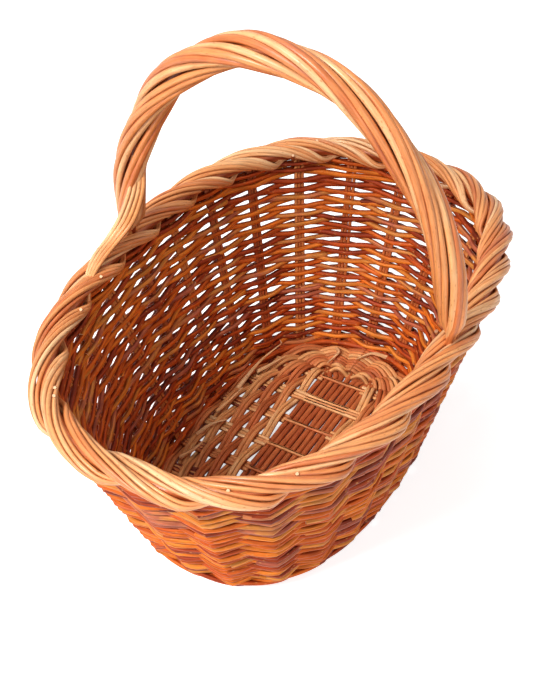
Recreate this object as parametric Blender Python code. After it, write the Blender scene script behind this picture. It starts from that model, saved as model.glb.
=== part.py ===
"""Oval foraging basket of willow: slath base, randed wall, plaited border, bow handle.

Metres, +Z up. X is the long axis of the oval, the handle stands over Y, and the origin is
on the ground under the middle of the basket.
"""

import bisect
import math

import bpy

# Oval of the wall, measured at the middle of its thickness
BASE_HALF_LENGTH = 0.137
BASE_HALF_WIDTH = 0.0865
RIM_HALF_LENGTH = 0.199
RIM_HALF_WIDTH = 0.132
BASE_ROUNDNESS_SHARE = 0.83
RIM_ROUNDNESS_SHARE = 0.8
RIM_HEIGHT = 0.171
RIM_RISE = 0.005

# Rods
STAKE_ROD_RADIUS = 0.0022
SIDING_ROD_RADIUS = 0.0019
BASE_WEAVER_RADIUS = 0.0017
LONG_STICK_RADIUS = 0.0023
CROSS_STICK_RADIUS = 0.0021
FOOT_ROD_RADIUS = 0.0035
SEAT_GAP = 0.0003
WEAVE_SLACK = 0.0002

# Stakes, in pairs of two rods side by side
STAKE_PAIRS = 24
QUARTER = STAKE_PAIRS // 4
STAKES_BESIDE_AN_END = 2
STAKE_TAIL_LENGTH = 0.0178
STAKE_BEND_RADIUS = 0.004
PAIR_WIDTH_SHARE = 1.9

# Siding rows
SIDING_ROWS = 34
SIDING_BANDS = 2
SIDING_START_HEIGHT = 0.0145
SIDING_BORDER_CLEARANCE = 0.0035
BAND_BREAK_SHARE = 0.1

# Base
BASE_ROWS = 6
BASE_ROW_PITCH = 0.0043
TAIL_ROWS = 2
BASE_SLACK = 0.001
SLATH_END_REACH = 0.012
SLATH_SIDE_REACH = 0.0058
SLATH_ROUNDNESS_SHARE = 0.25
SQUARENESS_FADE = 3
BASE_EDGE_INSET = 0.0095
LONG_STICKS_BESIDE_MIDDLE = 3
FANNED_STAKE = 2
LONG_STICK_SPACING = 0.0053
LONG_STICK_RISE_START = 0.0018
LONG_STICK_RISE_LENGTH = 0.0062
STICK_END_GAP = 0.0009
FOOT_RING_POINTS = 40

# Border, a flat rope of three strands
BORDER_STRANDS = 3
BORDER_REPEATS = 8
BORDER_POINTS_PER_REPEAT = 9
STRAND_WIDTH = 0.0114
STRAND_FLATNESS_SHARE = 0.7
ROPE_RADIUS = 0.0074
LEG_PASS_SHARE = 1.38
LEG_PHASE_SHARE = 0.25

# Handle
HANDLE_TOP_HEIGHT = 0.363
HANDLE_SPRING_HEIGHT = 0.181
HANDLE_CORE_RADIUS = 0.0058
HANDLE_LEG_RADIUS = 0.0032
HANDLE_TIP_RADIUS = 0.0024
HANDLE_SWELL_LENGTH = 0.03
HANDLE_STEPS = 22
WRAP_COUNT = 6
WRAP_RADIUS = 0.0044
WRAP_TURNS = 1.6
WRAP_SLACK = 0.0002

BARK_BROWN = (0.33, 0.085, 0.028)
BARK_ORANGE = (0.55, 0.19, 0.05)
BARK_RED = (0.45, 0.10, 0.04)
STICK_PINK = (0.48, 0.21, 0.11)
STICK_PALE = (0.58, 0.32, 0.16)
PEELED_BUFF = (0.78, 0.42, 0.17)
BARK_ROUGHNESS = 0.5
PEELED_ROUGHNESS = 0.4

# Facets round a rod
WEAVER_SIDES = 4
STICK_SIDES = 6
STRAND_SIDES = 6
FOOT_SIDES = 8

TWO_PI = 2 * math.pi

# Exponents of the ovals, from 2 for an ellipse up towards a rectangle
BASE_SQUARENESS = 2 / BASE_ROUNDNESS_SHARE
RIM_SQUARENESS = 2 / RIM_ROUNDNESS_SHARE
SLATH_SQUARENESS = 2 / SLATH_ROUNDNESS_SHARE

# Heights that follow from the rods
FOOT_FLAT_TILT = math.pi / FOOT_SIDES
FOOT_CENTRE_HEIGHT = FOOT_ROD_RADIUS * math.cos(FOOT_FLAT_TILT)
BASE_HEIGHT = 2 * FOOT_CENTRE_HEIGHT + SEAT_GAP + STAKE_ROD_RADIUS
BASE_SWAY = CROSS_STICK_RADIUS + BASE_WEAVER_RADIUS + SEAT_GAP + BASE_SLACK
BORDER_HALF_HEIGHT = (ROPE_RADIUS + STRAND_WIDTH / 2) * STRAND_FLATNESS_SHARE

# Plan of the base, from the outermost row inwards
SLATH_HALF_LENGTH = BASE_HALF_LENGTH - BASE_EDGE_INSET - BASE_ROWS * BASE_ROW_PITCH
SLATH_HALF_WIDTH = LONG_STICKS_BESIDE_MIDDLE * LONG_STICK_SPACING + SLATH_SIDE_REACH
LAST_CROSS_X = SLATH_HALF_LENGTH - SLATH_END_REACH
FAN_START_X = LAST_CROSS_X + LONG_STICK_RISE_START + LONG_STICK_RISE_LENGTH


def between(first, last, share):
    return first + (last - first) * share


def oval_point(half_length, half_width, squareness, angle):
    """Point of a squared oval in the direction of an angle."""
    across = abs(math.cos(angle) / half_length) ** squareness
    along = abs(math.sin(angle) / half_width) ** squareness
    reach = (across + along) ** (-1 / squareness)
    return reach * math.cos(angle), reach * math.sin(angle)


def oval_normal(half_length, half_width, squareness, x, y):
    """Outward direction of the squared oval at one of its points."""
    across = math.copysign(abs(x / half_length) ** (squareness - 1) / half_length, x)
    along = math.copysign(abs(y / half_width) ** (squareness - 1) / half_width, y)
    size = math.hypot(across, along)
    return across / size, along / size


def wall_oval(share):
    """Half length, half width and squareness of the wall at a share of its height."""
    return (
        between(BASE_HALF_LENGTH, RIM_HALF_LENGTH, share),
        between(BASE_HALF_WIDTH, RIM_HALF_WIDTH, share),
        between(BASE_SQUARENESS, RIM_SQUARENESS, share),
    )


def even_angles(oval, count, first=0.0, last=TWO_PI, samples=1440):
    """Angles that part an oval, or an arc of it, into equal lengths, without the last one."""
    steps = [between(first, last, index / samples) for index in range(samples + 1)]
    points = [oval_point(*oval, angle) for angle in steps]
    lengths = [0.0]
    for first, last in zip(points, points[1:]):
        lengths.append(lengths[-1] + math.dist(first, last))
    angles = []
    for index in range(count):
        target = lengths[-1] * index / count
        after = min(max(bisect.bisect_right(lengths, target), 1), samples)
        share = (target - lengths[after - 1]) / (lengths[after] - lengths[after - 1])
        angles.append(between(steps[after - 1], steps[after], share))
    return angles


def foot_angles():
    """Angles of the stakes round the base, even on both sides of the last cross stick."""
    oval = wall_oval(0)
    half_length, half_width, squareness = oval
    side_share = (1 - (LAST_CROSS_X / half_length) ** squareness) ** (1 / squareness)
    corner = math.atan2(half_width * side_share, LAST_CROSS_X)
    end_stakes = STAKES_BESIDE_AN_END + 1
    quarter = even_angles(oval, end_stakes, 0, corner)
    quarter += even_angles(oval, QUARTER - end_stakes, corner, math.pi / 2)
    half = quarter + [math.pi / 2] + [math.pi - angle for angle in reversed(quarter[1:])]
    return half + [math.pi + angle for angle in half]


BASE_ANGLES = foot_angles()
RIM_ANGLES = even_angles(wall_oval(1), STAKE_PAIRS)


def angle_at(angles, place):
    """Angle at a place counted in stakes, also between two of them."""
    turns, local = divmod(place, STAKE_PAIRS)
    index = int(local)
    last = angles[index + 1] if index + 1 < STAKE_PAIRS else TWO_PI
    return turns * TWO_PI + between(angles[index], last, local - index)


def rim_height(place):
    """Height of the rim's middle, which is lowest at the two ends and rises to the handle."""
    return RIM_HEIGHT - RIM_RISE * math.cos(2 * TWO_PI * place / STAKE_PAIRS)


def border_underside(place):
    return rim_height(place) - BORDER_HALF_HEIGHT


def height_share(height, place):
    """Share of the wall's height, from the base (0) to the rim (1), at a place."""
    return (height - BASE_HEIGHT) / (rim_height(place) - BASE_HEIGHT)


def wall_normal(share, place):
    """Outward direction of the wall at a share of its height."""
    normals = []
    for oval, angles in ((wall_oval(0), BASE_ANGLES), (wall_oval(1), RIM_ANGLES)):
        normals.append(oval_normal(*oval, *oval_point(*oval, angle_at(angles, place))))
    x, y = (between(*pair, share) for pair in zip(*normals))
    size = math.hypot(x, y)
    return x / size, y / size


def wall_point(height, place, outset=0.0):
    """Point on the straight line of a stake at a height, moved out of the wall's middle."""
    share = height_share(height, place)
    foot = oval_point(*wall_oval(0), angle_at(BASE_ANGLES, place))
    head = oval_point(*wall_oval(1), angle_at(RIM_ANGLES, place))
    normal = wall_normal(share, place)
    x, y = (between(a, b, share) + n * outset for a, b, n in zip(foot, head, normal))
    return x, y, height


def at_handle(index):
    """Whether a handle leg stands at this place instead of a pair of stakes."""
    return index % STAKE_PAIRS in (QUARTER, STAKE_PAIRS - QUARTER)


# Base in plan


def base_oval(share):
    """Row of the base, from the one round the middle (0) to the last one (1)."""
    return (
        between(SLATH_HALF_LENGTH, BASE_HALF_LENGTH - BASE_EDGE_INSET, share),
        between(SLATH_HALF_WIDTH, BASE_HALF_WIDTH - BASE_EDGE_INSET, share),
        between(BASE_SQUARENESS, SLATH_SQUARENESS, (1 - share) ** SQUARENESS_FADE),
    )


def end_offset(index):
    """Places from the middle of the nearer end, counted towards +Y."""
    local = index % STAKE_PAIRS
    nearest = round(2 * local / STAKE_PAIRS)
    offset = local - nearest * STAKE_PAIRS // 2
    return -offset if nearest == 1 else offset


def on_an_end(index):
    """Whether this place is at a rounded end of the base, past the cross sticks."""
    return abs(end_offset(index)) <= STAKES_BESIDE_AN_END


def has_stick(index):
    """Whether a base stick reaches this place, or only the tail of a stake."""
    return not on_an_end(index) or abs(end_offset(index)) in (0, FANNED_STAKE)


def stick_line(index):
    """Straight line, in plan, of a base stick and the stake's tail beyond it."""
    foot = wall_point(BASE_HEIGHT, index)[:2]
    if on_an_end(index):
        fan_spacing = LONG_STICKS_BESIDE_MIDDLE * LONG_STICK_SPACING / FANNED_STAKE
        return (math.copysign(FAN_START_X, foot[0]), end_offset(index) * fan_spacing), foot
    return (foot[0], 0.0), foot


def base_place(share, index, halvings=40):
    """Where a row of the base crosses the line of a stick or tail."""
    half_length, half_width, squareness = base_oval(share)
    inner, foot = stick_line(index)
    low, high = 0.0, 1.0
    for _ in range(halvings):
        middle = (low + high) / 2
        x, y = (between(a, b, middle) for a, b in zip(inner, foot))
        if abs(x / half_length) ** squareness + abs(y / half_width) ** squareness < 1:
            low = middle
        else:
            high = middle
    return tuple(between(a, b, low) for a, b in zip(inner, foot))


def tail_start(index, before=0.0):
    """Inner end of a stake's tail on its line, or a point a little before it."""
    inner, foot = stick_line(index)
    share = (STAKE_TAIL_LENGTH + before) / math.dist(inner, foot)
    return tuple(between(a, b, share) for a, b in zip(foot, inner))


# Blender helpers


def clear_scene():
    for old in list(bpy.data.objects):
        bpy.data.objects.remove(old)


def make_material(name, colour, roughness):
    material = bpy.data.materials.new(name)
    material.use_nodes = True
    shader = material.node_tree.nodes["Principled BSDF"]
    shader.inputs["Base Color"].default_value = (*colour, 1)
    shader.inputs["Roughness"].default_value = roughness
    shader.inputs["Metallic"].default_value = 0
    material.diffuse_color = (*colour, 1)
    return material


def rod(name, points, radius, sides, look, closed=False, shares=None, tilt=0.0):
    """A willow rod along a line of points, in the basket's collection."""
    curve = bpy.data.curves.new(name, "CURVE")
    curve.dimensions = "3D"
    curve.twist_mode = "Z_UP"
    curve.bevel_depth = radius
    curve.bevel_resolution = sides // 2 - 2
    curve.use_fill_caps = True
    spline = curve.splines.new("POLY")
    spline.points.add(len(points) - 1)
    spline.use_cyclic_u = closed
    spline.use_smooth = True
    for index, (knot, place) in enumerate(zip(spline.points, points)):
        knot.co = (*place, 1)
        knot.tilt = tilt
        knot.radius = shares[index] if shares else 1
    curve.materials.append(make_material(name, *look))
    piece = bpy.data.objects.new(name, curve)
    BASKET.objects.link(piece)
    return piece


# Base


def make_foot_ring():
    """Thick rod under the stakes, where they start to turn up, with a flat facet below."""
    points = []
    for step in range(FOOT_RING_POINTS):
        place = step * STAKE_PAIRS / FOOT_RING_POINTS
        x, y, _ = wall_point(BASE_HEIGHT, place, -STAKE_BEND_RADIUS)
        points.append((x, y, FOOT_CENTRE_HEIGHT))
    rod("foot_ring", points, FOOT_ROD_RADIUS, FOOT_SIDES, (BARK_RED, BARK_ROUGHNESS),
        closed=True, tilt=FOOT_FLAT_TILT)


def make_cross_sticks():
    """Sticks across the base, over the long ones, each ending at the tails of its stakes."""
    places = range(STAKES_BESIDE_AN_END + 1, 2 * QUARTER - STAKES_BESIDE_AN_END)
    for number, index in enumerate(places):
        x, y = base_place(1, index) if at_handle(index) else tail_start(index, STICK_END_GAP)
        points = [(x, side * y, BASE_HEIGHT) for side in (-1, 1)]
        rod(f"base_cross_stick_{number + 1}", points, CROSS_STICK_RADIUS, STICK_SIDES,
            (STICK_PALE, BARK_ROUGHNESS))


def make_long_sticks():
    """Sticks along the base, under the cross sticks, of which three rise and fan out."""
    low = BASE_HEIGHT - CROSS_STICK_RADIUS - LONG_STICK_RADIUS - SEAT_GAP
    outer = LONG_STICKS_BESIDE_MIDDLE
    for number, offset in enumerate(range(-outer, outer + 1)):
        y = offset * LONG_STICK_SPACING
        half = [(LAST_CROSS_X + LONG_STICK_RISE_START, y, low)]
        if abs(offset) in (0, outer):
            stake = offset * FANNED_STAKE // outer
            half.append((FAN_START_X, y, BASE_HEIGHT))
            half.append((*tail_start(stake, STICK_END_GAP), BASE_HEIGHT))
        points = [(-px, py, pz) for px, py, pz in reversed(half)] + half
        rod(f"base_long_stick_{number + 1}", points, LONG_STICK_RADIUS, STICK_SIDES,
            (BARK_BROWN, BARK_ROUGHNESS))


def make_base_weavers():
    """Two rods chase each other round the sticks, one over where the other is under."""
    half_turn = STAKE_PAIRS // 2
    steps = BASE_ROWS * half_turn
    for name, start, side in (("base_weaver_a", 0, 1), ("base_weaver_b", half_turn, -1)):
        points = []
        for step in range(steps + 1):
            rows_done = round(step / half_turn)
            if not has_stick(start + step) and rows_done <= BASE_ROWS - TAIL_ROWS:
                continue
            x, y = base_place(step / steps, start + step)
            points.append((x, y, BASE_HEIGHT + side * BASE_SWAY))
            side = -side
        rod(name, points, BASE_WEAVER_RADIUS, WEAVER_SIDES, (STICK_PINK, BARK_ROUGHNESS))


# Wall


def make_stake_pairs():
    """Two rods side by side: a tail in the base, a tight turn, and up the wall."""
    number = 0
    for index in range(STAKE_PAIRS):
        if at_handle(index):
            continue
        number += 1
        foot = wall_point(BASE_HEIGHT, index)[:2]
        tail = tail_start(index)
        bend = tuple(between(a, b, STAKE_BEND_RADIUS / STAKE_TAIL_LENGTH) for a, b in zip(foot, tail))
        points = [(*tail, BASE_HEIGHT), (*bend, BASE_HEIGHT)]
        for height in (BASE_HEIGHT + STAKE_BEND_RADIUS, border_underside(index) - SEAT_GAP):
            points.append(wall_point(height, index))
        normal = wall_normal(0.5, index)
        cos_turn, sin_turn = normal[1], -normal[0]
        local = []
        for x, y, z in points:
            x, y = x - foot[0], y - foot[1]
            aside = (x * cos_turn + y * sin_turn) / PAIR_WIDTH_SHARE
            local.append((aside, y * cos_turn - x * sin_turn, z))
        piece = rod(f"stake_pair_{number:02d}", local, STAKE_ROD_RADIUS, STICK_SIDES,
                    (BARK_BROWN, BARK_ROUGHNESS))
        piece.location = (*foot, 0)
        piece.rotation_euler = (0, 0, math.atan2(sin_turn, cos_turn))
        piece.scale = (PAIR_WIDTH_SHARE, 1, 1)


def siding_outset(index, height, side):
    """How far a weaver's middle stands off a stake, so that it clears the pair's edge.

    The weaver leaves the pair at a slope, which is steeper outside a turn of the wall.
    """
    inner = HANDLE_LEG_RADIUS if at_handle(index) else STAKE_ROD_RADIUS
    spacing = math.dist(wall_point(height, index), wall_point(height, index + 1))
    share = height_share(height, index)
    across = math.dist(wall_normal(share, index), wall_normal(share, index + 1))
    slope = 2 * (inner + SIDING_ROD_RADIUS + SEAT_GAP) / spacing + side * across / 2
    edge = STAKE_ROD_RADIUS * PAIR_WIDTH_SHARE / 2
    clear = inner + SIDING_ROD_RADIUS * math.hypot(1, slope) + SEAT_GAP + WEAVE_SLACK
    return side * (clear + edge * max(slope, 0))


def siding_place(place, start, first_side):
    """Point of a weaver at a place counted in stakes from its start, also in between."""
    steps = SIDING_ROWS * STAKE_PAIRS // 2
    top = border_underside(start + place) - SIDING_BORDER_CLEARANCE
    height = between(SIDING_START_HEIGHT, top, place / steps)
    whole = math.floor(place)
    side = -first_side if whole % 2 else first_side
    outset = between(
        siding_outset(start + whole, height, side),
        siding_outset(start + whole + 1, height, -side),
        place - whole,
    )
    return wall_point(height, start + place, outset)


def make_siding():
    """Two rods chase each other up the wall, outside one pair of stakes, inside the next."""
    band_steps = SIDING_ROWS * STAKE_PAIRS // 2 // SIDING_BANDS
    for letter, start, side in (("a", 0, 1), ("b", STAKE_PAIRS // 2, -1)):
        for band in range(SIDING_BANDS):
            first = band * band_steps
            places = [first + step for step in range(band_steps + 1)]
            if band:
                places[0] += BAND_BREAK_SHARE
            points = [siding_place(place, start, side) for place in places]
            look = (BARK_ORANGE if letter == "a" else BARK_BROWN, BARK_ROUGHNESS)
            rod(f"siding_{letter}_{band + 1}", points, SIDING_ROD_RADIUS, WEAVER_SIDES, look)


# Border


def make_border():
    """Three flat strands wound round each other, over the rim outwards and back under it.

    They part where the handle's legs go through, one strand outside and two inside.
    """
    count = BORDER_REPEATS * BORDER_POINTS_PER_REPEAT
    rim = wall_oval(1)
    angles = even_angles(rim, count)
    leg_clear = LEG_PASS_SHARE * (HANDLE_LEG_RADIUS + STRAND_WIDTH / 2 + SEAT_GAP)
    for strand in range(BORDER_STRANDS):
        points = []
        for index, angle in enumerate(angles):
            place = STAKE_PAIRS * index / count
            repeats = (place - QUARTER) * BORDER_REPEATS / STAKE_PAIRS
            phase = TWO_PI * (repeats + strand / BORDER_STRANDS + LEG_PHASE_SHARE)
            sway = ROPE_RADIUS * math.sin(phase)
            x, y = oval_point(*rim, angle)
            if abs(x) < leg_clear:
                apart = math.sqrt(leg_clear**2 - x**2)
                sway = math.copysign(max(abs(sway), apart), sway)
            normal_x, normal_y = oval_normal(*rim, x, y)
            rise = rim_height(place) - RIM_HEIGHT
            lift = ROPE_RADIUS * math.cos(phase) + rise / STRAND_FLATNESS_SHARE
            points.append((x + normal_x * sway, y + normal_y * sway, lift))
        piece = rod(f"border_strand_{strand + 1}", points, STRAND_WIDTH / 2, STRAND_SIDES,
                    (PEELED_BUFF, PEELED_ROUGHNESS), closed=True)
        piece.location = (0, 0, RIM_HEIGHT)
        piece.scale = (1, 1, STRAND_FLATNESS_SHARE)


# Handle


def bow_point(share):
    """Middle of the bow from one foot (0) over the top to the other (1)."""
    turn = math.pi * share
    rise = HANDLE_TOP_HEIGHT - HANDLE_SPRING_HEIGHT
    return RIM_HALF_WIDTH * math.cos(turn), HANDLE_SPRING_HEIGHT + rise * math.sin(turn)


def bow_shares():
    """Even steps of the bow between the two places where the wraps meet the border."""
    wrap_foot = rim_height(QUARTER) + BORDER_HALF_HEIGHT + SEAT_GAP + WRAP_RADIUS
    rise = HANDLE_TOP_HEIGHT - HANDLE_SPRING_HEIGHT
    first = math.asin((wrap_foot - HANDLE_SPRING_HEIGHT) / rise) / math.pi
    return [between(first, 1 - first, step / HANDLE_STEPS) for step in range(HANDLE_STEPS + 1)]


def make_handle_core():
    """Bow whose thinned legs run down through the border and the wall to the base."""
    tip_height = SIDING_START_HEIGHT
    border_foot = border_underside(QUARTER)
    leg = []
    for height, radius in (
        (tip_height, HANDLE_TIP_RADIUS),
        (between(tip_height, border_foot, 0.5), HANDLE_LEG_RADIUS),
        (border_foot, HANDLE_LEG_RADIUS),
        (rim_height(QUARTER), HANDLE_LEG_RADIUS),
    ):
        leg.append((wall_point(height, QUARTER)[1], height, radius))
    shares = bow_shares()
    bow = []
    length = 0.0
    last = bow_point(shares[0])
    for share in shares[: HANDLE_STEPS // 2 + 1]:
        y, z = bow_point(share)
        length += math.dist(last, (y, z))
        last = (y, z)
        swell = min(length / HANDLE_SWELL_LENGTH, 1)
        bow.append((y, z, between(HANDLE_LEG_RADIUS, HANDLE_CORE_RADIUS, swell)))
    half = leg + bow
    whole = half + [(-y, z, radius) for y, z, radius in reversed(half[:-1])]
    points = [(0, y, z) for y, z, _ in whole]
    radius_shares = [radius / HANDLE_CORE_RADIUS for _, _, radius in whole]
    rod("handle_core", points, HANDLE_CORE_RADIUS, STRAND_SIDES, (PEELED_BUFF, PEELED_ROUGHNESS),
        shares=radius_shares)


def make_handle_wraps():
    """Rods laid round the bow like a right-handed rope, from the top of the border over."""
    shares = bow_shares()
    half_step = (shares[1] - shares[0]) / 2
    turn_step = TWO_PI * WRAP_TURNS / HANDLE_STEPS
    around = HANDLE_CORE_RADIUS + WRAP_RADIUS + SEAT_GAP + WRAP_SLACK
    around /= math.cos(turn_step / 2)
    for number in range(WRAP_COUNT):
        points = []
        for step, share in enumerate(shares):
            y, z = bow_point(share)
            before, after = bow_point(share - half_step), bow_point(share + half_step)
            size = math.dist(before, after)
            out_y, out_z = (after[1] - before[1]) / size, (before[0] - after[0]) / size
            turn = TWO_PI * number / WRAP_COUNT - turn_step * step
            out = around * math.cos(turn)
            points.append((around * math.sin(turn), y + out_y * out, z + out_z * out))
        rod(f"handle_wrap_{number + 1}", points, WRAP_RADIUS, STRAND_SIDES,
            (PEELED_BUFF, PEELED_ROUGHNESS))


clear_scene()
BASKET = bpy.data.collections.new("foraging_basket")
bpy.context.scene.collection.children.link(BASKET)
make_foot_ring()
make_cross_sticks()
make_long_sticks()
make_base_weavers()
make_stake_pairs()
make_siding()
make_border()
make_handle_core()
make_handle_wraps()
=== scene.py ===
# %% [markdown]
# # A willow foraging basket
#
# A basket is one long lesson in rods: thin round sticks that go over and under each other.
# Nothing in it is a sheet, so the whole scene is built from one tool, a function that turns a
# line of points into a willow rod. The work is in the lines: where each rod runs, how thick
# it is, which bark it wears and where its cut end shows.
#
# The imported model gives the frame. Every line below is worked out from the same oval and the
# same heights, so that the dressed basket stays where the plain one stands.

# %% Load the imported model
import math

import bpy
import numpy as np
from mathutils import Matrix, Vector


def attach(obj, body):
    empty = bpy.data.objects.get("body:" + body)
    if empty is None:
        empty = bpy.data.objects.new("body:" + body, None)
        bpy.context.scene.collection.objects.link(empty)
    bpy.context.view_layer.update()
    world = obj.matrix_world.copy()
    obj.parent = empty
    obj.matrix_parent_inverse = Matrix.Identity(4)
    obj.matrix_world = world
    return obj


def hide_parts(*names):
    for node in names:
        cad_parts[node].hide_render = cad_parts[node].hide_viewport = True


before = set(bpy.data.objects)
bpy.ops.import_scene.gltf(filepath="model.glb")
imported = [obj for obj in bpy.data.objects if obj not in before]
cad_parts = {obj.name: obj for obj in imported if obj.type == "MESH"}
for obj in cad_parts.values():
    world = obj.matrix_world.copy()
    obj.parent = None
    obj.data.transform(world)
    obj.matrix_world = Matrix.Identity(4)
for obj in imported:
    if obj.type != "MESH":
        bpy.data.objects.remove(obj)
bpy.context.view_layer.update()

TWO_PI = 2 * math.pi
print("nodes in the packed model:", len(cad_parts))

# %% [markdown]
# ## The oval and the leaning wall
#
# The basket's plan is a squared oval, which is wider at the rim than at the base. Stakes are
# set out at even distances round it. A place on the wall is therefore two numbers: a height,
# and a place counted in stakes, which may lie between two of them. Tables with many samples
# are read with numpy's interp, because the rods ask for thousands of points at once.

# %% Sizes of the basket, in metres
BASE_HALF_LENGTH, BASE_HALF_WIDTH, BASE_SQUARENESS = 0.137, 0.0865, 2.4
RIM_HALF_LENGTH, RIM_HALF_WIDTH, RIM_SQUARENESS = 0.199, 0.132, 2.5
FOOT_HEIGHT = 0.00323
BASE_HEIGHT = 0.00897
RIM_HEIGHT = 0.171
RIM_RISE = 0.005
PLACES = 24
QUARTER = PLACES // 4


# %% Places on the wall
def oval(half_length, half_width, squareness, samples=2880):
    """Points and outward directions of a squared oval, at even distances from its +X end."""
    angle = np.linspace(0, TWO_PI, samples + 1)
    across = np.abs(np.cos(angle) / half_length) ** squareness
    along = np.abs(np.sin(angle) / half_width) ** squareness
    reach = (across + along) ** (-1 / squareness)
    points = np.stack([reach * np.cos(angle), reach * np.sin(angle)], 1)
    length = np.concatenate([[0], np.cumsum(np.linalg.norm(np.diff(points, axis=0), axis=1))])
    even = np.interp(np.linspace(0, length[-1], samples + 1), length, angle)
    across = np.abs(np.cos(even) / half_length) ** squareness
    along = np.abs(np.sin(even) / half_width) ** squareness
    reach = (across + along) ** (-1 / squareness)
    points = np.stack([reach * np.cos(even), reach * np.sin(even)], 1)
    sizes = np.array([half_length, half_width])
    normals = np.sign(points) * np.abs(points / sizes) ** (squareness - 1) / sizes
    return points, normals / np.linalg.norm(normals, axis=1, keepdims=True), length[-1]


BASE_OVAL = oval(BASE_HALF_LENGTH, BASE_HALF_WIDTH, BASE_SQUARENESS)
RIM_OVAL = oval(RIM_HALF_LENGTH, RIM_HALF_WIDTH, RIM_SQUARENESS)


def read_table(table, place):
    """Values of a table round the oval, at places counted in stakes."""
    steps = np.linspace(0, PLACES, len(table))
    return np.stack([np.interp(np.mod(place, PLACES), steps, column) for column in table.T], -1)


def rim_height(place):
    """Height of the rim's middle, which rises from both ends to the handle."""
    return RIM_HEIGHT - RIM_RISE * np.cos(2 * TWO_PI * np.asarray(place) / PLACES)


def height_share(height, place):
    return ((height - BASE_HEIGHT) / (rim_height(place) - BASE_HEIGHT))[..., None]


def wall(height, place, outset=0.0):
    """Points at a height and a place on the wall, moved outwards from its middle."""
    height, place = np.broadcast_arrays(np.asarray(height, float), np.asarray(place, float))
    share = height_share(height, place)
    point = (1 - share) * read_table(BASE_OVAL[0], place) + share * read_table(RIM_OVAL[0], place)
    point = point + wall_normal(height, place) * np.asarray(outset, float)[..., None]
    return np.concatenate([point, height[..., None]], -1)


def wall_normal(height, place):
    """Outward directions in plan at a height and a place on the wall."""
    height, place = np.broadcast_arrays(np.asarray(height, float), np.asarray(place, float))
    share = height_share(height, place)
    normal = (1 - share) * read_table(BASE_OVAL[1], place) + share * read_table(RIM_OVAL[1], place)
    return normal / np.linalg.norm(normal, axis=-1, keepdims=True)


print(f"rim {RIM_OVAL[2]:.3f} m round, base {BASE_OVAL[2]:.3f} m round, {PLACES} stake places")

# %% [markdown]
# ## A rod
#
# A willow rod is a slim cone with a cut at each end. A curve with a bevel would draw it, but
# a mesh can also carry what the finish needs: one tone for each rod, a position that runs
# along and around the rod for its grain, and a mark on the cut faces, which show pale wood.
# All rods of one piece are gathered and become one mesh.

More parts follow.
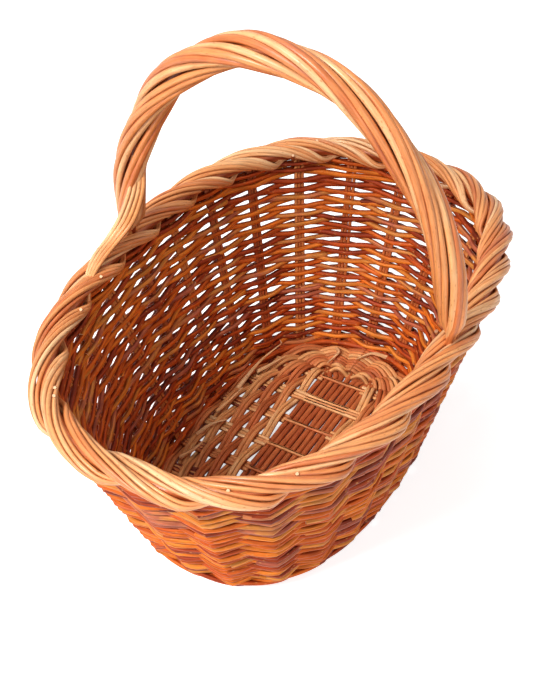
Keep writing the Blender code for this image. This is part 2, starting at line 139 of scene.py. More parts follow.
# %% The rod maker
class RodBundle:
    """Collects rods and turns them into one mesh with tone, grain and cut marks."""

    def __init__(self, name, sides):
        self.name, self.sides = name, sides
        self.points, self.tones, self.grains, self.faces, self.cuts = [], [], [], [], []
        self.facings = []
        self.count, self.rods = 0, 0

    def add(self, line, radius, tone, outward=(0, 0, 1)):
        """Adds a rod along a line of points; flanks turned from outward get painted shade."""
        line = np.asarray(line, float)
        radius = np.broadcast_to(np.asarray(radius, float), len(line)).copy()
        line, radius = round_the_ends(line, radius)
        tangent = np.gradient(line, axis=0)
        tangent /= np.linalg.norm(tangent, axis=1, keepdims=True)
        reference = np.eye(3)[np.argmin(np.abs(tangent).max(axis=0))]
        side = np.cross(tangent, reference)
        side /= np.linalg.norm(side, axis=1, keepdims=True)
        up = np.cross(side, tangent)
        angle = np.arange(self.sides) * TWO_PI / self.sides
        ring = side[:, None] * np.cos(angle)[:, None] + up[:, None] * np.sin(angle)[:, None]
        self.points.append((line[:, None] + ring * radius[:, None, None]).reshape(-1, 3))
        # Painted shade: how much each point faces the outward direction; the finish darkens the flanks that face
        # away, where rods lie against each other.
        facing_for_shade = np.broadcast_to(np.asarray(outward, float), (len(line) - 2, 3))
        facing_for_shade = np.vstack([facing_for_shade[:1], facing_for_shade, facing_for_shade[-1:]])
        self.facings.append(np.abs((ring * facing_for_shade[:, None]).sum(-1)).ravel())
        along = np.concatenate([[0], np.cumsum(np.linalg.norm(np.diff(line, axis=0), axis=1))])
        grain = np.zeros((len(line), self.sides, 3))
        grain[..., 0] = np.cos(angle) * radius[:, None]
        grain[..., 1] = np.sin(angle) * radius[:, None]
        grain[..., 2] = along[:, None] + self.rods * GRAIN_STRIDE
        self.grains.append(grain.reshape(-1, 3))
        self.tones.append(np.full(len(line) * self.sides, tone))
        self.add_faces(len(line))
        self.rods += 1

    def add_faces(self, rings):
        first = self.count + np.arange(rings - 1)[:, None] * self.sides
        here = np.arange(self.sides)[None]
        after = (here + 1) % self.sides
        quads = np.stack(
            [first + here, first + self.sides + here, first + self.sides + after, first + after], -1
        )
        self.faces.extend(quads.reshape(-1, 4).tolist())
        self.cuts.extend([0.0] * ((rings - 1) * self.sides))
        last = self.count + (rings - 1) * self.sides
        self.faces.append([self.count + k for k in range(self.sides)])
        self.faces.append([last + k for k in reversed(range(self.sides))])
        self.cuts.extend([1.0, 1.0])
        self.count += rings * self.sides

    def build(self, material, slot, nodes):
        """Makes the piece, which stands for CAD nodes, rides on the basket and has a finish."""
        mesh = bpy.data.meshes.new(self.name)
        mesh.from_pydata(np.concatenate(self.points).tolist(), [], self.faces)
        mesh.shade_smooth()
        cuts = np.array(self.cuts, np.float32)
        mesh.polygons.foreach_set("use_smooth", cuts < 0.5)
        mesh.attributes.new("rod_cut", "FLOAT", "FACE").data.foreach_set("value", cuts)
        tones = np.concatenate(self.tones).astype(np.float32)
        mesh.attributes.new("rod_tone", "FLOAT", "POINT").data.foreach_set("value", tones)
        # The facing is kept for the painted shade on the rods' flanks.
        facings = np.concatenate(self.facings).astype(np.float32)
        mesh.attributes.new("rod_painted_shade_facing", "FLOAT", "POINT").data.foreach_set("value", facings)
        grains = np.concatenate(self.grains).astype(np.float32).ravel()
        mesh.attributes.new("rod_grain", "FLOAT_VECTOR", "POINT").data.foreach_set("vector", grains)
        mesh.materials.append(material)
        piece = bpy.data.objects.new(self.name, mesh)
        bpy.context.scene.collection.objects.link(piece)
        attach(piece, "root")
        if nodes:
            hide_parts(*nodes)
        print(f"{self.name}: {self.rods} rods, {len(self.faces)} faces")
        return piece


GRAIN_STRIDE = 1.7
END_ROUND_SHARE = 0.3
END_RADIUS_SHARE = 0.8


def round_the_ends(line, radius):
    """Adds a smaller ring at each end, so that the cut has a worn edge."""
    for end in (0, -1):
        inner = line[1] if end == 0 else line[-2]
        step = inner - line[end]
        step = step / np.linalg.norm(step) * radius[end] * END_ROUND_SHARE
        tip, tip_radius = line[end].copy(), radius[end] * END_RADIUS_SHARE
        line[end] = tip + step
        if end == 0:
            line, radius = np.vstack([tip, line]), np.concatenate([[tip_radius], radius])
        else:
            line, radius = np.vstack([line, tip]), np.concatenate([radius, [tip_radius]])
    return line, radius


# %% [markdown]
# ## Lines that aren't quite straight
#
# A hand and a living rod leave small errors, and a weave without them looks printed. Each
# line gets a slow wander, which is a few sine waves with random phases. The random numbers
# have a seed, so each run gives the same basket.

# %% Wander and taper
RANDOM = np.random.default_rng(7)


def wander(places, size, wavelength):
    """Slow, smooth noise along a line, about as large as size."""
    total = np.zeros(len(places))
    for octave in (1.0, 1.9, 3.3):
        phase = RANDOM.uniform(0, TWO_PI)
        total += np.sin(places * TWO_PI * octave / wavelength + phase) / octave
    return total * size / 1.6


def taper(count, butt, tip):
    """Radius of a rod from its thick butt to its thin tip."""
    return np.linspace(butt, tip, count)


def spline(knots, count):
    """Smooth line through a few points, at even distances."""
    knots = np.asarray(knots, float)
    before = 2 * knots[0] - knots[1]
    after = 2 * knots[-1] - knots[-2]
    padded = np.vstack([before, knots, after])
    out = []
    for index in range(len(knots) - 1):
        a, b, c, d = padded[index : index + 4]
        t = np.linspace(0, 1, 24, endpoint=False)[:, None]
        out.append(
            0.5 * (2 * b + (c - a) * t + (2 * a - 5 * b + 4 * c - d) * t**2
                   + (3 * b - a - 3 * c + d) * t**3)
        )
    out.append(knots[-1:])
    dense = np.vstack(out)
    along = np.concatenate([[0], np.cumsum(np.linalg.norm(np.diff(dense, axis=0), axis=1))])
    even = np.linspace(0, along[-1], count)
    return np.stack([np.interp(even, along, column) for column in dense.T], -1)


print("wander of five points:", np.round(wander(np.arange(5.0), 1.0, 7.0), 2))

# %% [markdown]
# ## Finishes
#
# Two kinds of willow meet in this basket. The wall is brown willow, dried in its bark, and
# every rod has its own colour: brick red, orange, ochre, olive or mauve. The border and the
# handle are buff willow, boiled and peeled, which is smooth, golden and a little glossy.
# Both finishes read the rod's own tone through a colour ramp and its grain for the streaks
# that run along it, so that a rod keeps its colour wherever it goes in the weave.

# %% Node helpers
def new_material(name):
    material = bpy.data.materials.new(name)
    material.use_nodes = True
    tree = material.node_tree
    return material, tree, tree.nodes["Principled BSDF"]


def add_node(tree, kind, inputs=None, **settings):
    """Adds a node, sets its settings and fills its sockets with values or links."""
    node = tree.nodes.new(kind)
    for key, value in settings.items():
        setattr(node, key, value)
    for key, value in (inputs or {}).items():
        if isinstance(value, bpy.types.NodeSocket):
            tree.links.new(value, node.inputs[key])
        else:
            node.inputs[key].default_value = value
    return node


def attribute(tree, name):
    return add_node(tree, "ShaderNodeAttribute", attribute_name=name)


def colour_ramp(tree, factor, stops):
    node = add_node(tree, "ShaderNodeValToRGB", {"Fac": factor})
    elements = node.color_ramp.elements
    while len(elements) < len(stops):
        elements.new(1.0)
    for element, (place, colour) in zip(elements, stops):
        element.position = place
        element.color = (*colour, 1)
    return node.outputs["Color"]


def mix_colour(tree, factor, first, second, blend="MIX"):
    node = add_node(tree, "ShaderNodeMix", data_type="RGBA", blend_type=blend)
    for socket, value in ((0, factor), (6, first), (7, second)):
        if isinstance(value, bpy.types.NodeSocket):
            tree.links.new(value, node.inputs[socket])
        elif socket == 0:
            node.inputs[socket].default_value = value
        else:
            node.inputs[socket].default_value = (*value, 1)
    return node.outputs[2]


def map_range(tree, value, low, high, out_low, out_high):
    node = add_node(
        tree, "ShaderNodeMapRange",
        {"Value": value, "From Min": low, "From Max": high, "To Min": out_low, "To Max": out_high},
    )
    return node.outputs["Result"]


def willow(name, tones, streak_depth, speck_colour, roughness, painted_groove_shade, shine):
    """Finish of a willow rod: tone, streaks along it, specks, painted shade in the grooves and pale cuts."""
    material, tree, shader = new_material(name)
    tone = attribute(tree, "rod_tone").outputs["Fac"]
    grain = attribute(tree, "rod_grain").outputs["Vector"]
    long_grain = add_node(tree, "ShaderNodeVectorMath", {0: grain, 1: (1.0, 1.0, 0.06)},
                          operation="MULTIPLY").outputs["Vector"]
    streaks = add_node(tree, "ShaderNodeTexNoise",
                       {"Vector": long_grain, "Scale": 900.0, "Detail": 4.0, "Roughness": 0.6})
    patches = add_node(tree, "ShaderNodeTexNoise",
                       {"Vector": grain, "Scale": 45.0, "Detail": 3.0, "Roughness": 0.55})
    specks = add_node(tree, "ShaderNodeTexVoronoi",
                      {"Vector": add_node(tree, "ShaderNodeVectorMath", {0: grain, 1: (1.0, 1.0, 0.4)},
                                          operation="MULTIPLY").outputs["Vector"], "Scale": 420.0})
    shifted = add_node(tree, "ShaderNodeMath",
                       {0: tone, 1: map_range(tree, patches.outputs["Fac"], 0.3, 0.7, -0.12, 0.12)},
                       operation="ADD").outputs["Value"]
    colour = colour_ramp(tree, shifted, tones)
    dark = map_range(tree, streaks.outputs["Fac"], 0.35, 0.7, 1.0 - streak_depth, 1.0 + streak_depth * 0.5)
    grey = add_node(tree, "ShaderNodeCombineColor", {"Red": dark, "Green": dark, "Blue": dark})
    colour = mix_colour(tree, 1.0, colour, grey.outputs["Color"], "MULTIPLY")
    dots = map_range(tree, specks.outputs["Distance"], 0.10, 0.22, 0.75, 0.0)
    colour = mix_colour(tree, dots, colour, speck_colour)
    # Painted shade: the flanks where rods meet are darkened with the groove colour, standing in for the shade in
    # the grooves between them.
    facing_for_shade = attribute(tree, "rod_painted_shade_facing").outputs["Fac"]
    painted_shade_mask = map_range(tree, facing_for_shade, 0.05, 0.62, 1.0, 0.0)
    colour = mix_colour(tree, painted_shade_mask, colour,
                        mix_colour(tree, 1.0, colour, painted_groove_shade, "MULTIPLY"))
    cut = attribute(tree, "rod_cut").outputs["Fac"]
    colour = mix_colour(tree, cut, colour, CUT_WOOD)
    tree.links.new(colour, shader.inputs["Base Color"])
    rough = map_range(tree, streaks.outputs["Fac"], 0.3, 0.7, roughness + 0.1, roughness - 0.08)
    tree.links.new(rough, shader.inputs["Roughness"])
    bumped = add_node(tree, "ShaderNodeBump",
                      {"Height": streaks.outputs["Fac"], "Strength": 0.3, "Distance": 0.0004})
    tree.links.new(bumped.outputs["Normal"], shader.inputs["Normal"])
    shader.inputs["Specular IOR Level"].default_value = shine
    return material


# %% The willows of this basket
CUT_WOOD = (0.80, 0.50, 0.28)
BROWN_TONES = (
    (0.00, (0.200, 0.024, 0.006)),
    (0.18, (0.400, 0.050, 0.009)),
    (0.38, (0.620, 0.098, 0.010)),
    (0.56, (0.780, 0.170, 0.015)),
    (0.70, (0.800, 0.230, 0.026)),
    (0.80, (0.740, 0.270, 0.055)),
    (0.90, (0.570, 0.155, 0.070)),
    (1.00, (0.430, 0.095, 0.050)),
)
BUFF_TONES = (
    (0.0, (0.560, 0.130, 0.030)),
    (0.3, (0.730, 0.245, 0.070)),
    (0.65, (0.820, 0.345, 0.115)),
    (1.0, (0.900, 0.530, 0.260)),
)
STICK_TONES = (
    (0.0, (0.350, 0.060, 0.016)),
    (0.5, (0.600, 0.165, 0.050)),
    (0.85, (0.780, 0.360, 0.130)),
    (1.0, (0.900, 0.540, 0.270)),
)
STAKE_TONES = (
    (0.0, (0.350, 0.055, 0.016)),
    (0.5, (0.560, 0.140, 0.036)),
    (1.0, (0.700, 0.250, 0.070)),
)
# The last colour in each line is the painted shade for the grooves between rods.
brown_willow = willow("brown_willow", BROWN_TONES, 0.42, (0.60, 0.24, 0.07), 0.50, (0.42, 0.25, 0.20), 0.18)
buff_willow = willow("buff_willow", BUFF_TONES, 0.26, (0.48, 0.16, 0.04), 0.37, (0.48, 0.26, 0.17), 0.50)
base_willow = willow("base_willow", STICK_TONES, 0.34, (0.28, 0.08, 0.03), 0.50, (0.40, 0.24, 0.20), 0.20)
stake_willow = willow("stake_willow", STAKE_TONES, 0.34, (0.45, 0.20, 0.08), 0.50, (0.35, 0.20, 0.16), 0.20)
print("finishes:", [m.name for m in (brown_willow, buff_willow, base_willow, stake_willow)])

# %% [markdown]
# ## Stakes
#
# The stakes are the basket's ribs. Each is a pair of rods, side by side, which starts as a
# flat tail in the base, turns up sharply at its edge and climbs inside the weave to the
# border. Two places have no stakes, because a leg of the handle stands there.

# %% Stake groups
STAKE_RADIUS = 0.0020
STAKE_ROD_RADIUS = 0.0014
TAIL_LENGTH = 0.030
BEND = 0.004


def stake_line(place, aside, depth):
    """A stake from its tail in the base, round the bend and up to the border."""
    height = np.linspace(BASE_HEIGHT + BEND, rim_height(place) - 0.005, 26)
    climb = wall(height, place, np.full(len(height), depth))
    foot = wall(BASE_HEIGHT, place)
    inwards = -np.append(wall_normal(BASE_HEIGHT, place), 0)
    tail = [foot + inwards * TAIL_LENGTH, foot + inwards * TAIL_LENGTH / 2, foot + inwards * BEND]
    turn = foot + inwards * BEND * 0.29 + np.array([0, 0, BEND * 0.29])
    line = np.vstack([tail, turn, climb])
    sideways = np.array([-inwards[1], inwards[0], 0])
    return line + sideways * aside


STAKE_SHIFTS = ((0, 0.0), (4, 0.0), (5, 0.0004), (9, 0.0004), (10, 0.0), (12, -0.0006),
                (20, -0.0006), (21, 0.0), (24, 0.0))


def round_table(table, place):
    """Value at a place from a short table of places and values round the wall."""
    return np.interp(np.mod(place, PLACES), *np.array(table).T)


stakes = RodBundle("stakes", 8)
for place in range(PLACES):
    if place % (2 * QUARTER) == QUARTER:
        continue
    group_tone = RANDOM.uniform(0.2, 0.95)
    shift = round_table(STAKE_SHIFTS, place)
    for side, depth in ((-1, -0.0013), (0, -0.0007), (1, -0.0013)):
        line = stake_line(place, side * 0.0028 + RANDOM.normal(0, 0.0002), depth + shift)
        tone = np.clip(group_tone + RANDOM.uniform(-0.15, 0.15), 0, 1)
        outward = np.append(wall_normal(BASE_HEIGHT, place), 0)
        stakes.add(line, taper(len(line), 0.0017, 0.0015), tone, outward)
stakes.build(stake_willow, "bark_brown", [f"stake_pair_{n:02d}" for n in range(1, 23)])

# %% [markdown]
# ## The wall
#
# The wall is woven one rod to a row: outside a stake, inside the next, and the row above the
# other way round. Between two stakes the rows cross and press on each other, and beside each
# stake they part, which leaves the small slanting windows that let the light through. That
# only happens when the rods really pass in front and behind, so the rows aren't drawn on a
# surface: each is a wave round the stakes, and a rod is only about a turn long.

# %% Rows of the wall
ROWS = 42
FIRST_ROW, BORDER_DROP = 0.0165, 0.0165
STEPS_PER_PLACE = 8
WEAVE_DEPTHS = ((0, 0.0041), (3, 0.0036), (5, 0.0029), (9, 0.0029), (11, 0.0038), (13, 0.0046),
                (16, 0.0046), (18, 0.0040), (21, 0.0041), (24, 0.0041))
ROD_SWELLS = ((0, 1.0), (3, 1.03), (5, 1.08), (9, 1.08), (11, 1.03), (24, 1.0))
DIP_SHARES = ((0, 0.8), (3, 0.7), (5, 0.25), (9, 0.25), (11, 1.0), (24, 0.8))
STAKE_OUTSET = 0.0010
STAKE_DIP = 0.0018
LEG_EXTRA = 0.0010
WAVE_SHARPNESS = 0.96


def weave(place, side):
    """How far a woven rod stands off the wall's middle: straight runs from stake to stake."""
    wave = np.arcsin(WAVE_SHARPNESS * np.cos(math.pi * place)) / math.asin(WAVE_SHARPNESS)
    leg = np.exp(-((np.mod(place - QUARTER + PLACES / 4, PLACES / 2) - PLACES / 4) ** 2) / 0.08)
    depth = round_table(WEAVE_DEPTHS, place)
    return wave * side * (depth + LEG_EXTRA * leg) + STAKE_OUTSET


def from_stake_to_stake(heights, places, outset):
    """Points of a woven rod, which runs straight between stakes and not along the oval."""
    before = np.floor(places)
    share = (places - before)[:, None]
    dip = STAKE_DIP * (1 - 2 * np.minimum(share[:, 0], 1 - share[:, 0]))
    dip = dip * (1 + wander(places, 0.5, 4.3)) * round_table(DIP_SHARES, places)
    start, end = wall(heights - dip, before, outset), wall(heights - dip, before + 1, outset)
    return start * (1 - share) + end * share


def row_height(row, places):
    """Height of a row, which follows the rise of the rim and sags a little where it likes."""
    share = (row / (ROWS - 1)) ** 1.06
    phases = np.random.default_rng(100 + row).uniform(0, TWO_PI, 4)
    sag = sum(np.sin(places * TWO_PI * k / PLACES + p) for k, p in zip((2, 3, 5, 8), phases))
    top = rim_height(places) - BORDER_DROP
    return FIRST_ROW + (top - FIRST_ROW) * share + sag * 0.00018


siding = RodBundle("wall_rods", 8)
for row in range(ROWS):
    side = 1 if row % 2 else -1
    start = RANDOM.uniform(0, PLACES)
    end = start + PLACES
    here = start
    while here < end - 1:
        length = RANDOM.uniform(4, 10)
        there = min(here + length, end)
        if end - there < 3:
            there = end
        first = round((here - 0.25) * STEPS_PER_PLACE)
        last = round((there + 0.25) * STEPS_PER_PLACE)
        places = np.arange(first, last + 1) / STEPS_PER_PLACE
        heights = row_height(row, places) + wander(places, 0.00022, 3.9)
        begun = np.minimum((places - places[0]) / 0.5, 1)
        ended = np.minimum((places[-1] - places) / 0.5, 1)
        heights = heights - (1 - begun) * 0.0010 + (1 - ended) * 0.0010
        outset = weave(places + wander(places, 0.16, 3.1), side) + wander(places, 0.0003, 2.9)
        line = from_stake_to_stake(heights, places, outset)
        outward = np.append(wall_normal(heights, places), np.zeros((len(places), 1)), 1)
        tone = RANDOM.uniform(0.0, 1.0)
        thick = RANDOM.uniform(0.86, 1.08)
        radius = taper(len(places), 0.00235, 0.00200) * thick * round_table(ROD_SWELLS, places)
        siding.add(line, radius, tone, outward)
        here = there
TWIG_TIP, TWIG_FOOT = (-0.1556, 0.0209, 0.040), (-0.1500, 0.0115, 0.041)
siding.add(np.linspace(TWIG_FOOT, TWIG_TIP, 5), 0.0010, 0.95)
siding.build(brown_willow, "bark_mixed", ["siding_a_1", "siding_a_2", "siding_b_1", "siding_b_2"])

# %% [markdown]
# ## Wales
#
# Three rods that chase each other, each outside two stakes and inside the third, make a tight
# band like a rope. One locks the turned-up stakes above the base, and one finishes the wall
# under the border. A wale lets no light through, so it reads as a dense band.

# %% Wale bands
WALE_RADIUS = 0.0018


def wale_wave(place, number, values):
    """A value of a wale rod that repeats over the three stakes of its pattern."""
    phase = np.mod(place - number, 3.0)
    whole = np.floor(phase).astype(int)
    share = phase - whole
    share = share * share * (3 - 2 * share)
    values = np.array(values)
    return values[whole % 3] * (1 - share) + values[(whole + 1) % 3] * share


def add_wale(bundle, height_at, tones):
    offset = STAKE_RADIUS + WALE_RADIUS
    for number in range(3):
        places = np.linspace(0, PLACES, PLACES * 9) + number * 2.3
        lift = wale_wave(places, number, (0.0, WALE_RADIUS, -WALE_RADIUS))
        out = wale_wave(places, number, (-offset, offset, offset))
        heights = height_at(places) + lift
        line = wall(heights, places, out)
        outward = np.append(wall_normal(heights, places), np.zeros((len(places), 1)), 1)
        bundle.add(line, taper(len(places), 0.0019, 0.0017), tones[number], outward)


wales = RodBundle("wale_rods", 8)
add_wale(wales, lambda places: 0.0122 + 0 * places, (0.35, 0.55, 0.2))
add_wale(wales, lambda places: rim_height(places) - 0.0130, (0.3, 0.6, 0.15))
add_wale(wales, lambda places: rim_height(places) - 0.0080, (0.25, 0.4, 0.1))
places = np.linspace(0, PLACES, 240)
wales.add(wall(np.full(240, 0.0118), places, np.full(240, -0.0027)), 0.0026, 0.3)
wales.add(wall(np.full(240, 0.0088), places, np.full(240, -0.0014)), 0.0023, 0.35)
wales.build(brown_willow, "bark_mixed", [])

# %% [markdown]
# ## The border
#
# The rim looks like a flat rope. Every stake is bent over and laid along the rim with a few
# others: they come up at the inner edge from under their neighbours, run outwards over the
# top, bulge over the outer edge and turn back in under the next ones. One such bundle is a
# stroke here. A stroke's phase says where it is on its way round the rope: 0 on top, 90
# degrees at the outer edge, 270 at the inner one. The list of bumps says at which place on
# the rim each stroke reaches the outer edge, so the strokes are as uneven as a hand makes them.

# %% Border strokes
BUMPS = (0.35, 1.45, 2.45, 3.45, 4.45, 5.45, 6.5, 7.6, 8.7, 9.9, 11.2, 12.5, 13.65, 14.7,
         15.8, 17.0, 18.1, 19.1, 20.1, 21.05, 22.0, 23.1)
STROKES = len(BUMPS)
RODS_PER_STROKE = 5
ROPE_SWAY, ROPE_LIFT = 0.0070, 0.0056
STROKE_ARCH = 0.0043
ARCH_FLATNESS = 0.85
ROD_SPREAD = math.radians(46)
RIM_TUCKS = ((0, 0.0), (18.8, 0.0), (20.2, 0.003), (22.4, 0.003), (23.6, 0.0), (24, 0.0))
BORDER_ROD_RADIUS = 0.00175
STROKE_START, STROKE_END = math.radians(-193), math.radians(185)
TUCK_START, TUCK_TURN = math.radians(128), math.radians(57)
GATHER_START, GATHER_TURN = math.radians(-75), math.radians(75)


def stroke_number(place):
    """Number of the stroke that bulges at a place, counted on round the rim."""
    numbers = np.arange(-STROKES, 3 * STROKES)
    bumps = np.concatenate([np.array(BUMPS) + PLACES * turn for turn in range(-1, 3)])
    return np.interp(place, bumps, numbers)


def stroke_places(number, count):
    """Places and phases of a stroke, from its start under the rim to its end under it."""
    places = np.linspace(BUMPS[number] - 6, BUMPS[number] + 4, 900)
    phases = math.pi / 2 + TWO_PI / 3 * (stroke_number(places) - number)
    wanted = np.linspace(STROKE_START, STROKE_END, count)
    return np.interp(wanted, phases, places), wanted


def smooth_step(value):
    value = np.clip(value, 0, 1)
    return value * value * (3 - 2 * value)


def stroke_rod(number, spread, lean):
    """Line and outward directions of one rod, which lies on the stroke's round back."""
    places, phase = stroke_places(number, 56)
    tuck = 1 - 0.7 * smooth_step((phase - TUCK_START) / TUCK_TURN)
    tuck = tuck - 0.7 * smooth_step((-TUCK_START - phase) / TUCK_TURN)
    gather = 1 - 0.6 * smooth_step((GATHER_START - phase) / GATHER_TURN)
    phase = phase - 0.2 * np.sin(phase)
    around = phase + spread * gather + lean * np.cos(phase)
    arch = (STROKE_ARCH + wander(places, 0.0003, 2.0)) * tuck
    aside = ROPE_SWAY * tuck * np.sin(phase) + arch * np.sin(around)
    up = ROPE_LIFT * tuck * np.cos(phase) + arch * np.cos(around) * ARCH_FLATNESS
    normal = wall_normal(rim_height(places), places)
    middle = wall(rim_height(places), places, -round_table(RIM_TUCKS, places))
    outward = np.concatenate([normal * np.sin(around)[:, None], np.cos(around)[:, None]], 1)
    return middle + np.concatenate([normal * aside[:, None], up[:, None]], 1), outward


border = [RodBundle(f"border_strokes_{k + 1}", 10) for k in range(3)]
for number in range(STROKES):
    stroke_tone = RANDOM.uniform(0.35, 0.75)
    lean = RANDOM.uniform(-0.15, 0.15)
    for rod in range(RODS_PER_STROKE):
        rank = rod - (RODS_PER_STROKE - 1) / 2
        spread = rank * ROD_SPREAD + RANDOM.normal(0, 0.09)
        line, outward = stroke_rod(number, spread, lean)
        radius = taper(len(line), 1.08, 0.94) * BORDER_ROD_RADIUS * RANDOM.uniform(0.84, 1.12)
        first = RANDOM.integers(17, 22) if rod == 0 and RANDOM.uniform() < 0.6 else 0
        tone = np.clip(stroke_tone + RANDOM.uniform(-0.4, 0.4), 0, 1)
        border[number % 3].add(line[first:], radius[first:], tone, outward[first:])
CUT_ENDS = ((-0.0572, 0.1193, 0.1820), (-0.0904, 0.1136, 0.1776), (-0.1642, 0.0810, 0.1771),
            (-0.1713, 0.0763, 0.1777), (-0.1863, -0.0673, 0.1741), (-0.1567, -0.0991, 0.1775),
            (0.1784, 0.0709, 0.1773), (0.1566, 0.0813, 0.1723))
CUT_END_LEAN = np.array([-0.45, -0.30, 0.84])
for end in CUT_ENDS:
    reach = np.linspace(-0.0070, 0.0011, 6)[:, None]
    # The lean is also the direction for the painted shade, and it runs along these ends, so their sides get the
    # full painted shade.
    border[0].add(np.array(end) + CUT_END_LEAN * reach, 0.0014, 0.9, CUT_END_LEAN)
core_places = np.linspace(0, PLACES, 200)
core_line = wall(rim_height(core_places), core_places, -round_table(RIM_TUCKS, core_places))
border[0].add(core_line, 0.0057, 0.0)
for k, bundle in enumerate(border):
    bundle.build(buff_willow, "peeled_buff", [f"border_strand_{k + 1}"])

# %% [markdown]
# ## The handle
#
# The bow is a core rod with thinner rods laid round it in slow turns, like the strands of a
# rope. The rods lie in three groups of four, with a deeper groove between the groups.

# %% Handle rods
BOW_TOP, BOW_SPRING = 0.363, 0.181
HANDLE_TURNS = 1.6
GROUPS, RODS_PER_GROUP = 3, 4
HANDLE_ROD_RADIUS = 0.0027
GROUP_REACH, GROUP_ARCH = 0.0056, 0.0053
WIDTH_SHARES = ((-0.02, 0.55), (0.03, 0.85), (0.10, 0.95), (0.25, 1.0), (0.6, 0.92),
                (0.8, 0.87), (0.93, 0.85), (0.98, 0.70), (1.02, 0.50))
GROUP_SPREAD = math.radians(49)
DIVE_SHARE = 0.034


def bow(share):
    """Middle of the bow, and its outward direction, from the +Y foot over the top."""
    turn = math.pi * share
    rise = BOW_TOP - BOW_SPRING
    point = np.stack([0 * turn, RIM_HALF_WIDTH * np.cos(turn), BOW_SPRING + rise * np.sin(turn)], 1)
    out = np.stack([0 * turn, np.cos(turn) * rise, np.sin(turn) * RIM_HALF_WIDTH], 1)
    return point, out / np.linalg.norm(out, axis=1, keepdims=True)


handle = RodBundle("handle_rods", 12)
share = np.linspace(-0.02, 1.02, 170)
middle, out = bow(share)
sideways = np.array([1.0, 0.0, 0.0])
width = np.interp(share, *np.array(WIDTH_SHARES).T)
to_foot = np.minimum(share, 1 - share)
dive = 1 - 1.1 * smooth_step((DIVE_SHARE - to_foot) / DIVE_SHARE)
for group in range(GROUPS):
    turn = TWO_PI * (group / GROUPS - share * HANDLE_TURNS + 0.1)
    for number in range(RODS_PER_GROUP):
        spread = (number - (RODS_PER_GROUP - 1) / 2) * GROUP_SPREAD
        around = turn + spread + wander(share * 10, 0.10, 4.0)
        arch = GROUP_ARCH + wander(share * 10, 0.0003, 3.0)
        outward = (GROUP_REACH * np.cos(turn) + arch * np.cos(around)) * width * dive
        aside = (GROUP_REACH * np.sin(turn) + arch * np.sin(around)) * width
        line = middle + out * outward[:, None] + sideways * aside[:, None]
        radius = HANDLE_ROD_RADIUS * RANDOM.uniform(0.9, 1.05) + wander(share * 10, 0.00012, 6.0)
        outward = out * np.cos(around)[:, None] + sideways * np.sin(around)[:, None]
        handle.add(line, radius, RANDOM.uniform(0.1, 0.9), outward)
handle.add(middle, 0.0050 * width, 0.0)
for rod in range(4):
    slip = rod - 1.3
    knots = np.array([(0.000, 0.1180, 0.258), (-0.006, 0.1160, 0.232), (-0.014, 0.1225, 0.206),
                      (-0.027, 0.1290, 0.1915), (-0.046, 0.1290, 0.187), (-0.062, 0.1265, 0.181),
                      (-0.074, 0.1210, 0.170)])
    across = np.array([(-0.3, 0.3, 0.2), (-0.5, 0.8, 0.3), (-0.3, 1, 0.3), (0.1, 1, 0.0),
                       (0.2, 1, -0.1), (0.2, 0.7, -0.2), (0.1, 0.3, -0.2)])
    # Painted shade on these rods darkens the sides that face away from (-0.5, -0.3, 0.8), which is up and towards
    # the camera.
    handle.add(spline(knots + across * slip * 0.0030, 60), taper(60, 0.0020, 0.0013), 0.60 + 0.12 * rod,
               (-0.5, -0.3, 0.8))
for side in (1, -1):
    place = QUARTER * (2 - side)
    height = np.linspace(0.0145, float(rim_height(place)), 30)
    handle.add(wall(height, place), taper(len(height), 0.0024, 0.0031), 0.1)
handle.build(buff_willow, "peeled_buff",
             ["handle_core"] + [f"handle_wrap_{n}" for n in range(1, 7)])

# %% [markdown]
# ## The base
#
# The base is an oval slath: long sticks down the middle, cross sticks over them in groups, and
# two weavers that go round and round through the sticks.

# %% Base sticks and foot rod
foot = RodBundle("foot_rod", 12)
places = np.linspace(0, PLACES + 0.3, 240)
foot_line = wall(np.full(len(places), BASE_HEIGHT), places, np.full(len(places), -0.004))
foot_line[:, 2] = FOOT_HEIGHT + 0.0001
foot.add(foot_line, 0.0031, 0.45)
foot.build(brown_willow, "bark_red", ["foot_ring"])

long_sticks = RodBundle("base_long_sticks", 10)
for number in range(9):
    y = (number - 4) * 0.0051
    reach = 0.126 - 0.0018 * abs(number - 4)
    xs = np.linspace(-reach, reach, 40)
    line = np.stack([xs, y + wander(xs * 100, 0.0004, 9.0) + np.sign(y) * np.maximum(np.abs(xs) - 0.098, 0) * 0.8,
                     np.full(len(xs), 0.0062)], 1)
    long_sticks.add(line, 0.0025, RANDOM.uniform(0.1, 0.5))
long_sticks.build(base_willow, "bark_brown", [f"base_long_stick_{n}" for n in range(1, 8)])

cross_sticks = RodBundle("base_cross_sticks", 10)
for place in range(3, 10):
    foot_x, foot_y, _ = wall(BASE_HEIGHT, place)
    for aside in (-0.0033, 0.0, 0.0033):
        for side in (-1, 1):
            first = -0.020 if aside == 0 or place == 4 else RANDOM.uniform(0.016, 0.021)
            ys = side * np.linspace(first, foot_y - 0.006, 24)
            line = np.stack([foot_x + aside + wander(ys * 100, 0.0004, 9.0), ys,
                             np.full(len(ys), BASE_HEIGHT + 0.0001)], 1)
            cross_sticks.add(line, 0.0017, RANDOM.uniform(0.45, 1.0))
cross_sticks.build(base_willow, "stick_pale", [f"base_cross_stick_{n}" for n in range(1, 8)])

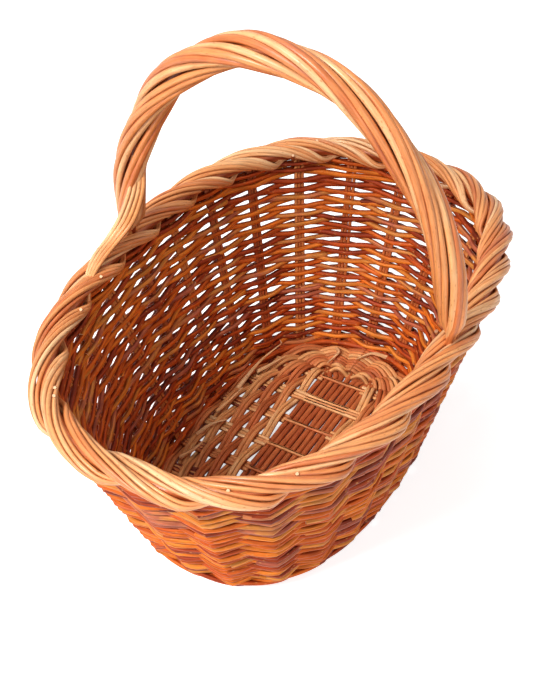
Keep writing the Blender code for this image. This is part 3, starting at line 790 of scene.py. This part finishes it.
weavers = RodBundle("base_weavers", 8)
BASE_WEAVER_ROWS = 8
CROSS_PLACES = np.arange(3, 10)
CROSS_X = wall(BASE_HEIGHT, CROSS_PLACES)[:, 0]
for row in range(BASE_WEAVER_ROWS):
    share = (row + 0.5) / 7
    half_length = 0.1018 + (0.1275 - 0.1018) * share
    half_width = 0.0235 + (0.077 - 0.0235) * share
    squareness = 2.4 + (8 - 2.4) * max(1 - share, 0) ** 3
    row_tone = RANDOM.uniform(0.40, 0.75)
    for aside in (-0.0019, 0.0019):
        ring_points, _, _ = oval(half_length + aside, half_width + aside, squareness)
        places = np.linspace(0, PLACES, 260)
        line = read_table(ring_points, places)
        far_side = line[:131]
        met = np.interp(-CROSS_X, -far_side[:, 0], places[:131])
        count = np.interp(places, [0, *met, *(PLACES - met[::-1]), PLACES],
                          [0, *CROSS_PLACES, *(PLACES - CROSS_PLACES[::-1]), PLACES])
        side = 1 if row % 2 else -1
        z = BASE_HEIGHT + 0.0002 + side * 0.0032 * np.cos(math.pi * count)
        line = np.concatenate([line, z[:, None]], 1)
        radius = 0.00205 + wander(places, 0.00015, 3.0)
        weavers.add(line, radius, np.clip(row_tone + RANDOM.uniform(-0.15, 0.15), 0, 1))
LOOSE_ENDS = (
    ((0.040, 0.0730, 0.0125), (0.070, 0.0700, 0.0190), (0.098, 0.0640, 0.0215)),
    ((-0.022, 0.0740, 0.0120), (-0.010, 0.0680, 0.0160), (0.002, 0.0590, 0.0160)),
    ((0.008, 0.0740, 0.0120), (0.020, 0.0690, 0.0170), (0.037, 0.0655, 0.0200)),
    ((0.134, -0.0200, 0.0120), (0.128, -0.0080, 0.0165), (0.115, 0.0010, 0.0165)),
    ((0.124, 0.0240, 0.0120), (0.116, 0.0180, 0.0160), (0.100, 0.0200, 0.0165)),
    ((0.066, 0.0700, 0.0120), (0.074, 0.0620, 0.0165), (0.090, 0.0560, 0.0165)),
    ((-0.050, 0.0720, 0.0120), (-0.040, 0.0650, 0.0160), (-0.024, 0.0620, 0.0165)),
)
for knots in LOOSE_ENDS:
    line = spline(knots, 16)
    # Painted shade on these ends darkens the sides that face away from (-0.5, -0.4, 0.7), which is up and towards
    # the camera.
    weavers.add(line, taper(16, 0.0022, 0.0004), RANDOM.uniform(0.95, 1.0), (-0.5, -0.4, 0.7))
weavers.build(base_willow, "stick_pink", ["base_weaver_a", "base_weaver_b"])

# %% [markdown]
# ## Floor, light and camera
#
# The basket stands in a bright studio. Three large soft lamps light it from above, and the
# floor and the world are white only where the camera or a reflection sees them, so that the
# white background adds no light to the willow.

# %% Floor
def white_where_seen(tree):
    """Light Path factor that is 1 for camera, glossy and transmission rays."""
    path = add_node(tree, "ShaderNodeLightPath")
    both = add_node(tree, "ShaderNodeMath",
                    {0: path.outputs["Is Camera Ray"], 1: path.outputs["Is Glossy Ray"]}, operation="MAXIMUM")
    return add_node(tree, "ShaderNodeMath",
                    {0: both.outputs["Value"], 1: path.outputs["Is Transmission Ray"]}, operation="MAXIMUM").outputs["Value"]


def make_floor():
    mesh = bpy.data.meshes.new("studio_floor")
    half = 4.0
    mesh.from_pydata([(-half, -half, 0), (half, -half, 0), (half, half, 0), (-half, half, 0)], [], [(0, 1, 2, 3)])
    floor = bpy.data.objects.new("studio_floor", mesh)
    bpy.context.scene.collection.objects.link(floor)
    material, tree, shader = new_material("pale_floor")
    shader.inputs["Base Color"].default_value = (0.80, 0.80, 0.80, 1)
    shader.inputs["Roughness"].default_value = 0.9
    seen = white_where_seen(tree)
    glow = add_node(tree, "ShaderNodeEmission", {"Color": (1, 1, 1, 1), "Strength": 0.72})
    dark = add_node(tree, "ShaderNodeEmission", {"Color": (0, 0, 0, 1), "Strength": 0.0})
    extra = add_node(tree, "ShaderNodeMixShader", {0: seen, 1: dark.outputs[0], 2: glow.outputs[0]})
    total = add_node(tree, "ShaderNodeAddShader", {0: shader.outputs[0], 1: extra.outputs[0]})
    tree.links.new(total.outputs[0], tree.nodes["Material Output"].inputs["Surface"])
    mesh.materials.append(material)


make_floor()


# %% Lamps and world
def soft_lamp(name, place, target, size, power):
    data = bpy.data.lights.new(name, "AREA")
    data.shape, data.size, data.energy = "DISK", size, power
    lamp = bpy.data.objects.new(name, data)
    lamp.location = place
    lamp.rotation_euler = (Vector(target) - Vector(place)).to_track_quat("-Z", "Y").to_euler()
    bpy.context.scene.collection.objects.link(lamp)


soft_lamp("key_lamp", (-1.6, 0.55, 1.7), (0, 0, 0.1), 0.8, 57)
soft_lamp("fill_lamp", (-0.9, -1.6, 1.2), (0, 0, 0.1), 1.4, 13)
soft_lamp("top_lamp", (0.2, 0.5, 2.3), (0, 0, 0.1), 1.6, 15)

world = bpy.data.worlds.new("studio_world")
world.use_nodes = True
bpy.context.scene.world = world
world_tree = world.node_tree
background = world_tree.nodes["Background"]
background.inputs["Color"].default_value = (1, 1, 1, 1)
strength = map_range(world_tree, white_where_seen(world_tree), 0.0, 1.0, 0.23, 1.0)
world_tree.links.new(strength, background.inputs["Strength"])

# %% [markdown]
# The camera stands where the photographer stood: above the rim, looking down into the basket
# from one end and one side. Its place was worked out once from the outline of the rim, the
# wall and the base, and is written as angles and a distance.

# %% Camera
AZIMUTH, ELEVATION, ROLL = math.radians(-57.9802), math.radians(41.1999), math.radians(-2.6889)
CAMERA_DISTANCE = 1.0586
CAMERA_TARGET = Vector((0.0201, 0.0268, 0.09))
LENS = 70.18


def make_camera():
    back = Vector((math.sin(AZIMUTH) * math.cos(ELEVATION),
                   -math.cos(AZIMUTH) * math.cos(ELEVATION), math.sin(ELEVATION)))
    right = (-back).cross(Vector((0, 0, 1))).normalized()
    up = right.cross(-back)
    rolled_right = right * math.cos(ROLL) + up * math.sin(ROLL)
    rolled_up = -right * math.sin(ROLL) + up * math.cos(ROLL)
    data = bpy.data.cameras.new("photo_camera")
    data.sensor_fit, data.sensor_width, data.sensor_height, data.lens = "AUTO", 36, 36, LENS
    camera = bpy.data.objects.new("photo_camera", data)
    rotation = Matrix((rolled_right, rolled_up, back)).transposed()
    camera.matrix_world = Matrix.Translation(CAMERA_TARGET + back * CAMERA_DISTANCE) @ rotation.to_4x4()
    bpy.context.scene.collection.objects.link(camera)
    bpy.context.scene.camera = camera
    print("camera at", tuple(round(value, 3) for value in camera.location))


make_camera()
bpy.context.scene.view_settings.view_transform = "Standard"
